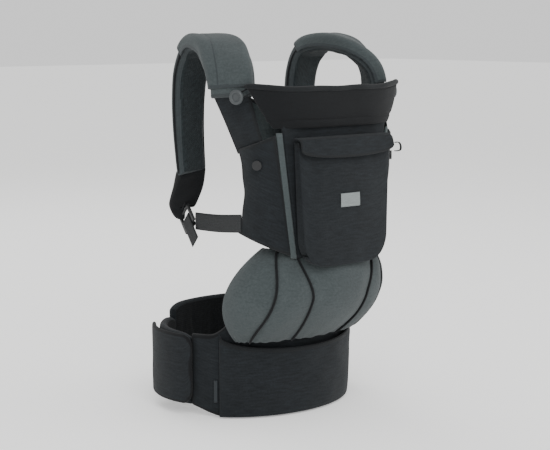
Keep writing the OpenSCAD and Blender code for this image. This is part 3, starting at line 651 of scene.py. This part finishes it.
def seam_line(seam):
    """Points along a seam of the seat, standing a little off its gores."""
    v = np.linspace(0.02, 0.98, 40)
    p = seat_point(-seam(v), v)
    below, above = seat_point(-seam(v) - 1.0, v), seat_point(-seam(v) + 1.0, v)
    up = seat_point(-seam(v), np.minimum(v + 0.01, 1)) - seat_point(-seam(v), np.maximum(v - 0.01, 0))
    n = np.cross(above - below, up)
    return p + n / np.linalg.norm(n, axis=1, keepdims=True) * 2.2


cords = joined([round_cord("cord_%d" % i, seam_line(seam), piping_d, black_twill)
                for i, seam in enumerate((inner_seam, outer_seam))], "seat_seam_piping_left")
for piece, node in ((cords, "seat_piping_left"), (mirrored(cords, "seat_seam_piping_right"), "seat_piping_right")):
    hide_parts(node)
    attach(piece, "carrier")

# ---------- front panel and lining ----------
# The panel that holds the child's back: twill outside, a thick mesh lining inside that curves round
# the child's sides, with a light knit band sewn down each side of the panel.
panel_y, panel_bow = 178.0, 6.0
panel_foot_half, panel_top_half = 68.0, 96.0
panel_foot_z, panel_top_z = 234.0, 416.0


def panel_point(u, v):
    s = 2 * u - 1
    return stack(s * mix(panel_foot_half, panel_top_half, v), -panel_y - panel_bow * (1 - s * s),
                 mix(panel_foot_z, panel_top_z, v))


lining_past, lining_rise = 20.0, 44.0


def lining_shape(u, v):
    s = 2 * u - 1
    k = np.abs(s) ** 3
    half = mix(panel_foot_half, panel_top_half + 1.0, v) + lining_past + 8 * k * v
    return stack(s * half, -panel_y + 5.4 + (30 + 8 * v) * k - 5 * (1 - s * s),
                 mix(panel_foot_z + 2.0, panel_top_z - 2.0 + lining_rise * k, v))


panel = cloth_panel("front_panel_cloth", panel_point, 50, 46, 4.8, 3.0, [twill, black_twill], slack=0.5,
                    fold=30, seed=1.9)
lining = cloth_panel("panel_lining_pad", lining_shape, 60, 46, 4.8, 3.0, [knit, spacer_mesh, grosgrain],
                     bound_edges, slack=0.4, fold=26, seed=3.9)
swollen(lining, 2.0, 1.0)
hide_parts("front_panel")
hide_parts("panel_lining")
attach(panel, "carrier")
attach(lining, "carrier")


def band_shape(u, v):
    p = panel_point(0 * u, 0.94 * v)
    return stack(p[..., 0] - 1.2 - 8 * (1 - u), -panel_y - 1 + 4 * (1 - u), p[..., 2])


# Stretch knit band, pale: fine ribs across
rib_knit = cloth_material("pale_rib_knit", "#353B3C", "#485051", 0.9, 0.08, 0.0016, 0.0004, 0.5)
band = cloth_panel("side_band_left", band_shape, 8, 46, 2.8, 1.4, [rib_knit], slack=0.3, fold=12, seed=7.7)
for piece, side in ((band, "left"), (mirrored(band, "side_band_right"), "right")):
    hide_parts("edge_band_" + side)
    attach(piece, "carrier")

# ---------- side wings ----------
# A twill wing fans out from each band and carries the shoulder webbing and the arm to the strap.
# A small plain snap stud is set in its upper part.


def wing_front(v):
    p = panel_point(0 * v, v)
    return stack(p[..., 0] - 8, -panel_y + 2.5, mix(238.0, 402.0, v))


def wing_rear(v):
    return stack(-123.0 + 0 * v, -118 - 12 * hump(v), mix(267.4, 381.4, v))


def wing_shape(u, v):
    p = mix(wing_rear(v), wing_front(v), u[..., None])
    bow = -9 * hump(u)
    tension = 1.0 * np.sin(v * 16 + 3 * u) * (1 - u) ** 2 * hump(v)
    return p + stack(bow + tension, bow, 0 * u)


def hemmed(u, v, side, d):
    return 1 if d < 4.5 else 0


wing = cloth_panel("side_wing_cloth_left", wing_shape, 40, 44, 2.8, 1.4, [twill, grosgrain], hemmed,
                   slack=0.7, fold=22, seed=2.8)
for piece, side in ((wing, "left"), (mirrored(wing, "side_wing_cloth_right"), "right")):
    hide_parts("side_wing_" + side)
    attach(piece, "carrier")
moulded("wing_studs", acetal, 0.0006)

# ---------- shoulder straps ----------
# Long padded straps arch from the wings over the shoulders and down the back: foam in grey knit with
# a dark mesh underside, thinner towards the tail. A loose knit sleeve covers the front and top.
front_x, strap_x, strap_top = 131.0, 104.0, 533.4
strap_centre = np.array([
    [-front_x, -116, 450.4], [-front_x + 2, -112, 476.4], [-front_x + 6, -98, strap_top - 36],
    [-strap_x - 13, -72, strap_top - 18], [-strap_x - 5, -34, strap_top - 12], [-strap_x - 1, -6, strap_top - 24],
    [-strap_x, 11, strap_top - 52], [-strap_x, 17, strap_top - 88], [-strap_x + 1, 19, strap_top - 126],
    [-strap_x + 3, 19, strap_top - 163], [-strap_x + 6, 19, strap_top - 197]])
strap_across = np.array([[0.42, -0.9, 0], [0.48, -0.87, 0], [0.62, -0.78, 0], [0.82, -0.55, 0], [0.95, -0.25, 0],
                         [1, 0, 0], [1, 0, 0], [1, 0, 0], [1, 0, 0], [1, 0, 0], [1, 0, 0]])


def unit(a):
    return a / np.maximum(np.linalg.norm(a, axis=-1, keepdims=True), 1e-9)


def strap_frame(t):
    """Centre, side and outward directions and scale of the left strap at t, from 0 to 1."""
    centre = curve_through(strap_centre, t)
    ahead, behind = np.minimum(t + 0.01, 1), np.maximum(t - 0.01, 0)
    along = unit(curve_through(strap_centre, ahead) - curve_through(strap_centre, behind))
    side = unit(curve_through(strap_across, t))
    side = unit(side - along * (side * along).sum(-1, keepdims=True))
    return centre, side, np.cross(side, along), mix(1, 0.78, np.maximum(0, (t - 0.45) / 0.55))


def strap_shape(u, v):
    centre, side, out, scale = strap_frame(v)
    k = scale[..., None]
    return centre + side * ((2 * u - 1) * 29.6)[..., None] * k + out * 11.3 * k


def strap_depth(u, v):
    return 22.4 * mix(1, 0.78, np.maximum(0, (v - 0.45) / 0.55))


liner = cloth_material("charcoal_air_mesh", "#15191B", "#2B3234", 0.9, 0.05, 0.0032, 0.0010, 0.8)


def strap_paint(u, v, side, d):
    return 1 if d < 5 else (2 if side else 0)


strap = cloth_panel("shoulder_strap_pad_left", strap_shape, 26, 110, strap_depth, 10.0,
                    [knit, side_knit, liner], strap_paint, slack=0.9, fold=26, seed=4.9, edge=0.09)
swollen(strap, 3.0, 1.5)


def sleeve_path(u, half, out, low):
    """Across and outward offsets round the sleeve's section, from one lower edge over to the other."""
    r = 9.0
    arc = r * math.pi / 2
    wall = out - r - low
    total = 2 * wall + 2 * arc + 2 * (half - r)
    s = np.abs(u - 0.5) * total
    flat = half - r
    a = np.clip((s - flat) / arc, 0, 1) * math.pi / 2
    x = np.minimum(s, flat) + r * np.sin(a)
    y = out - r + r * np.cos(a) - np.maximum(s - flat - arc, 0)
    return np.sign(u - 0.5) * x, y


sleeve_seam = 0.36


def sleeve_shape(u, v):
    t = mix(0.05, 0.5, v)
    centre, side, out, scale = strap_frame(t)
    x, y = sleeve_path(u, 32.0, 13.6, -6.5)
    ruck = 0.5 * np.sin(v * 60) * np.exp(-((v - 0.45) * 7) ** 2) * np.abs(2 * u - 1) ** 2
    ruck = ruck - 1.0 * np.exp(-((u - sleeve_seam) / 0.012) ** 2)
    return centre + side * (x * scale)[..., None] + out * ((y + ruck) * scale)[..., None]



def sleeve_paint(u, v, side, d):
    return 1 if side or d < 5 or abs(u - sleeve_seam) < 0.008 else 0


sleeve = cloth_panel("strap_sleeve_cloth_left", sleeve_shape, 60, 66, 2.4, 1.2, [knit, side_knit],
                     sleeve_paint, slack=0.8, fold=24, seed=8.8)
smooth = sleeve.modifiers.new("smooth", "SUBSURF")
smooth.levels = smooth.render_levels = 1


def strap_edge(t, across, out):
    centre, side, up, scale = strap_frame(t)
    return centre + side * across * scale[:, None] + up * out * scale[:, None]


t = np.linspace(0.012, 0.985, 120)
edging = joined([round_cord("cord_%d" % i, strap_edge(t, across, -1.6), 3.0, grosgrain)
                 for i, across in enumerate((-29.4, 29.4))], "strap_edge_piping_left")
both = [(piece, mirrored(piece, piece.name.replace("left", "right"))) for piece in (strap, sleeve, edging)]
for side, pieces in zip(("left", "right"), zip(*both)):
    for piece in pieces:
        if "pad" in piece.name:
            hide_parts("strap_foam_" + side, "strap_cover_" + side)
        elif "sleeve" in piece.name:
            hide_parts("strap_sleeve_" + side)
        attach(piece, "carrier")

# ---------- arms to the wings ----------
# A flat double layer of twill joins each strap's front end to its wing.


def arm_shape(u, v):
    top = np.array([-front_x, -116, 458.0])
    foot = np.array([-118.0, -140.0, 380.0])
    across = unit(mix(np.array([0.08, -1, 0.22]), np.array([0.42, -0.9, 0]), v[..., None]))
    half = mix(27.0, 29.0, v) - 1.5 * hump(v)
    bow = 2.0 * hump(v) * hump(u)
    centre = mix(foot, top, v[..., None]) + stack(-3.0 * v - bow, 0 * u, 0 * u)
    return centre + across * (half * (2 * u - 1))[..., None]


arm = cloth_panel("strap_arm_left", arm_shape, 24, 34, 2.9, 1.45, [twill, grosgrain], hemmed, slack=0.6,
                  fold=18, seed=6.6)
for piece, side in ((arm, "left"), (mirrored(arm, "strap_arm_right"), "right")):
    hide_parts("panel_arm_" + side)
    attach(piece, "carrier")

# ---------- head support ----------
# A padded twill collar rises from the panel's top, with a stitched line across it. A rolled binding
# finishes its top, and an elastic loop at each corner holds it up.


head_foot_half, head_top_half = 104.0, 139.0
head_foot_z, head_top_z = 409.5, 460.0


def head_point(u, v):
    s = 2 * u - 1
    k = np.abs(s) ** 3.5
    return stack(s * mix(head_foot_half, head_top_half, v ** 0.8), -panel_y - 11 - 5 * v + k * (18 + 20 * v),
                 mix(head_foot_z, head_top_z + 5 * k, v))


def head_shape(u, v):
    p = head_point(u, v)
    full = 1.2 * np.sin(math.pi * v) * (0.6 + 0.4 * np.cos(u * 12))
    line = -1.6 * np.exp(-((v - 0.23) / 0.03) ** 2)
    p[..., 1] -= full + line
    return p


collar = cloth_panel("head_support_collar", head_shape, 90, 44, 6.6, 4.0, [black_twill, spacer_mesh],
                     slack=0.9, fold=30, seed=7.1)
swollen(collar, 2.5, 1.5)
bpy.ops.object.select_all(action="DESELECT")
collar.select_set(True)
bpy.context.view_layer.objects.active = collar
bpy.ops.object.modifier_apply(modifier="smooth")
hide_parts("head_base", "head_support")
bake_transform(collar)

u = np.linspace(0, 1, 90)
rolled = round_cord("head_support_binding", head_point(u, 1 + 0 * u) + np.array([0, 3.0, 2.2]) +
                    np.stack([0 * u, 0.4 * np.sin(u * 37), 0.5 * np.sin(u * 23)], -1), 8.0, grosgrain, sides=16)
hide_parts("head_binding")
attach(rolled, "head_support")

# ---------- loops and buttons ----------
# Round moulded buttons stand on the straps' front edges, and the collar's elastic loops pass round
# their stems.
# Nylon, moulded and lightly tumbled: mid grey, soft shine
nylon, shader = new_material("tumbled_grey_nylon")
place = add(nylon, "TexCoord").outputs["Object"]
grain = add(nylon, "TexNoise", {"Vector": place, "Scale": 1800.0, "Detail": 2.0}).outputs["Fac"]
tone = add(nylon, "TexNoise", {"Vector": place, "Scale": 90.0, "Detail": 3.0}).outputs["Fac"]
shade = add(nylon, "Mix", {0: tone, "A": srgb("#2B2F31"), "B": srgb("#3A3F41")}, data_type="RGBA")
relief = add(nylon, "Bump", {"Height": grain, "Strength": 0.2, "Distance": 0.0002})
nylon.node_tree.links.new(shade.outputs["Result"], shader.inputs["Base Color"])
nylon.node_tree.links.new(relief.outputs[0], shader.inputs["Normal"])
shader.inputs["Roughness"].default_value = 0.5
shader.inputs["IOR"].default_value = 1.53
for node in ("button_left", "button_right"):
    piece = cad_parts[node]
    for slot in piece.material_slots:
        slot.material = nylon
    piece.modifiers.new("joined", "WELD").merge_threshold = 0.00002

stem = np.array([-139.308, -140.527, 452.344])
face = np.array([math.sin(math.radians(-65)), -math.cos(math.radians(-65)), 0.0])
edge = np.array([-132.8, -159.0, 462.4])
start = edge - face * (edge - stem).dot(face)
reach = unit(stem - start)
aside = np.cross(face, reach)
far = np.linalg.norm(stem - start)
bend = [start + reach * (far + 3.6 * math.sin(a)) + aside * 3.6 * math.cos(a) for a in np.linspace(0, math.pi, 12)]
loop_line = [start + aside * 4.0 - reach * 3, start + aside * 3.9 + reach * 3] + bend + \
    [start - aside * 3.9 + reach * 3, start - aside * 4.0 - reach * 3]
loop = round_cord("button_loop_left", curve_through(loop_line, np.linspace(0, 1, 60)), 2.5, grosgrain, sides=8)
loops = joined([loop, mirrored(loop, "button_loop_right")], "collar_button_loops")
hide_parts("button_loops")
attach(loops, "head_support")

# ---------- front pouch ----------
# A flat pouch of twill on the panel with narrow side gussets and a floor, open at the top under its
# flap. Its lower corners are rounded, and a small plain woven label is sewn on in its middle.


pouch_back = 184.4
pouch_foot_half, pouch_top_half = 76.0, 84.0
pouch_foot_d, pouch_mouth_d = 18.0, 13.0
pouch_foot_z, pouch_top_z, corner_rise = 223.0, 393.4, 16.0


def pouch_point(u, v):
    s = 2 * u - 1
    half = mix(pouch_foot_half - 7 * np.maximum(0, 1 - 7 * v) ** 2, pouch_top_half, v)
    depth = mix(pouch_foot_d, pouch_mouth_d, v) + 8 * (1 - s * s) * hump(0.15 + 0.7 * v)
    return stack(s * half, -pouch_back - depth, mix(pouch_foot_z + corner_rise * np.abs(s) ** 7, pouch_top_z, v))


def pouch_shape(u, v):
    p = pouch_point(u, v)
    s = 2 * u - 1
    p[..., 1] += 1.2 * np.sin(9 * v + 2 * s) * (1 - s * s) * hump(v)
    return p


def top_hem(u, v, side, d):
    return 1 if v > 0.955 else 0


pouch = cloth_panel("front_pouch_cloth", pouch_shape, 64, 64, 2.1, 1.0, [twill, grosgrain], top_hem, slack=1.0,
                    fold=34, seed=5.2)
smooth = pouch.modifiers.new("smooth", "SUBSURF")
smooth.levels = smooth.render_levels = 1
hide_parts("pouch_front")
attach(pouch, "carrier")


def label_shape(u, v):
    p = pouch_shape(mix(0.5 - 0.11, 0.5 + 0.11, u), mix(0.47, 0.58, v))
    p[..., 1] -= 1.2
    return p


# Woven damask label, plain, pale grey
damask = cloth_material("pale_woven_damask", "#6C7272", "#8A9090", 0.6, 0.05, 0.0009, 0.00015)
label = cloth_panel("plain_front_label", label_shape, 24, 12, 1.1, 0.5, [damask])
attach(label, "carrier")


def gusset_shape(u, v):
    p = pouch_point(0 * u, v)
    return stack(p[..., 0] + 3.4, mix(-pouch_back + 0 * v, p[..., 1] + 2.6, u), p[..., 2])


gusset = cloth_panel("pouch_gusset_cloth_left", gusset_shape, 10, 46, 2.1, 1.0, [twill], slack=0.3, fold=14, seed=3.4)
for piece, side in ((gusset, "left"), (mirrored(gusset, "pouch_gusset_cloth_right"), "right")):
    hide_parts("pouch_gusset_" + side)
    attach(piece, "carrier")


def floor_shape(u, v):
    s = 2 * u - 1
    return stack(s * 70.0, -190.4 - v * (12 + 2.6 * np.clip(2 - 2 * np.abs(s), 0, 1)), 224.6 + 14 * np.abs(s) ** 7)


base = cloth_panel("pouch_floor_cloth", floor_shape, 40, 10, 1.9, 0.9, [twill])
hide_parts("pouch_bottom")
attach(base, "carrier")

# ---------- pouch flap ----------
# A stiffened twill flap is sewn to the panel above the pouch and hangs over its mouth. A small
# webbing loop at its right corner is there to pull it open.
flap_z = 395.9


def flap_shape(u, v):
    s = 2 * u - 1
    reach = 18.5 + 8 * (1 - s * s) * hump(0.85)
    drop = 14 + 14 * np.maximum(hump(u), 0) ** 0.35
    t = 1 - v
    line = np.stack([np.stack([3.4 + 0 * reach, 0 * reach], -1), np.stack([reach * 0.5, -0.2 + 0 * reach], -1),
                     np.stack([reach, -4 + 0 * reach], -1), np.stack([reach + 4, -drop], -1)])
    i = np.minimum(np.floor(t * 3).astype(int), 2)
    f = (t * 3 - i)[..., None]
    rows, cols = np.indices(t.shape)
    a, b, c, d = (line[np.clip(i + k, 0, 3), rows, cols] for k in (-1, 0, 1, 2))
    q = 0.5 * (2 * b + (c - a) * f + (2 * a - 5 * b + 4 * c - d) * f ** 2 + (3 * b - 3 * c + d - a) * f ** 3)
    return stack(s * 85.0, -pouch_back - q[..., 0], flap_z + 2.4 + q[..., 1])


flap = cloth_panel("pouch_flap_cloth", flap_shape, 64, 40, 2.3, 1.1, [twill, grosgrain],
                   lambda u, v, side, d: 1 if d < 3.5 and v < 0.5 else 0, slack=0.4, fold=24, seed=9.9)
smooth = flap.modifiers.new("smooth", "SUBSURF")
smooth.levels = smooth.render_levels = 1
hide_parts("pocket_flap")
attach(flap, "pocket_flap")
x, y, z = 85.4, -pouch_back - pouch_mouth_d - 11, flap_z - 16
pull_line = [(x - 1, y + 1, z + 6), (x + 5, y, z + 6), (x + 9, y, z + 3), (x + 11, y + 0.5, z - 2),
             (x + 9, y, z - 6), (x + 3, y, z - 7), (x - 1, y + 1, z - 7)]
pull = webbing("flap_pull_loop", pull_line, (0.15, 1, 0), 4.0, n=40, thick=1.2, smoothed=True, material=grosgrain)
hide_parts("flap_pull")
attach(pull, "pocket_flap")

# ---------- strap ends ----------
# Black twill gathers each strap's tail into the webbing that is sewn into its ladder lock.
lock_at = np.array([-98.0, 30.0, 269.4])
lock_along = np.array([-0.113937, -0.697867, -0.707107])
lock_across = np.array([-0.113937, -0.697867, 0.707107])
lock_out = np.array([-0.986933, 0.161132, 0.0])
lock_back = lock_at - lock_along * 16.0
tail_top = strap_frame(np.array([1.0]))
tail_start = tail_top[0][0] + 4.4 * np.cross(tail_top[2][0], tail_top[1][0]) * -1


def end_frame(v):
    line = [tail_start, mix(tail_start, lock_back, 0.4), lock_back - 8 * lock_along, lock_back]
    centre = curve_through(line, v)
    along = unit(curve_through(line, np.minimum(v + 0.02, 1)) - curve_through(line, np.maximum(v - 0.02, 0)))
    side = unit(curve_through([[1, 0, 0], [0.9, -0.4, 0.1], [0.6, -0.7, 0.35], lock_across], v))
    side = unit(side - along * (side * along).sum(-1, keepdims=True))
    half = curve_through([[23.2], [22.2], [19.2], [13.3]], v)[..., 0]
    deep = curve_through([[8.8], [6.8], [4.0], [1.4]], v)[..., 0]
    return centre, side, np.cross(side, along), half, deep


def end_shape(u, v):
    centre, side, out, half, deep = end_frame(v)
    return centre + side * (half * (2 * u - 1))[..., None] + out * deep[..., None]


end = cloth_panel("strap_end_cloth_left", end_shape, 24, 34, lambda u, v: 2 * end_frame(v)[4], 6.0, [black_twill],
                  slack=0.6, fold=16, seed=1.3)
smooth = end.modifiers.new("smooth", "SUBSURF")
smooth.levels = smooth.render_levels = 1
for piece, side in ((end, "left"), (mirrored(end, "strap_end_cloth_right"), "right")):
    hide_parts("strap_end_" + side)
    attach(piece, "carrier")

# ---------- ladder locks and shoulder webbing ----------
# A moulded three-bar lock hangs from each strap end. 25 mm webbing from the wing goes round its
# middle bar, and a loose tail for pulling it tight hangs below.
for side in ("left", "right"):
    moulded("ladder_lock_" + side, acetal, 0.0007)


def in_lock(x, out):
    return lock_at + lock_along * x + lock_out * out


r, shoulder_web_w = 3.3, 25.0
turn_line = [in_lock(18, -r), in_lock(8, -r)]
turn_line += [in_lock(-r * math.sin(a), -r * math.cos(a)) for a in np.linspace(0.1, math.pi - 0.1, 12)]
turn_line += [in_lock(8, r), in_lock(24, r), in_lock(42, r)]
wrap = webbing("lock_webbing_left", turn_line, lock_across, shoulder_web_w, n=90)
anchor = np.array([-122.0, -117.0, 281.4])
run = unit(np.array([anchor[0] - lock_at[0], anchor[1] - lock_at[1], 0.0]))
anchor = anchor + run * 9.0
web_from = lock_at + run * 25.04
run_line = [web_from - run * 1.0, mix(web_from, anchor, 0.5) + np.array([0, 0, -1.5]), anchor]
band = webbing("shoulder_webbing_run_left", run_line, (0, 0, 1), shoulder_web_w, n=80, smoothed=True)
both = [(piece, mirrored(piece, piece.name.replace("left", "right"))) for piece in (wrap, band)]
for side, flip, (wrap, band) in zip(("left", "right"), (1, -1), zip(*both)):
    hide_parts("webbing_wrap_" + side)
    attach(wrap, "ladder_lock_" + side)
    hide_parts("shoulder_webbing_" + side)
    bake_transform(band)
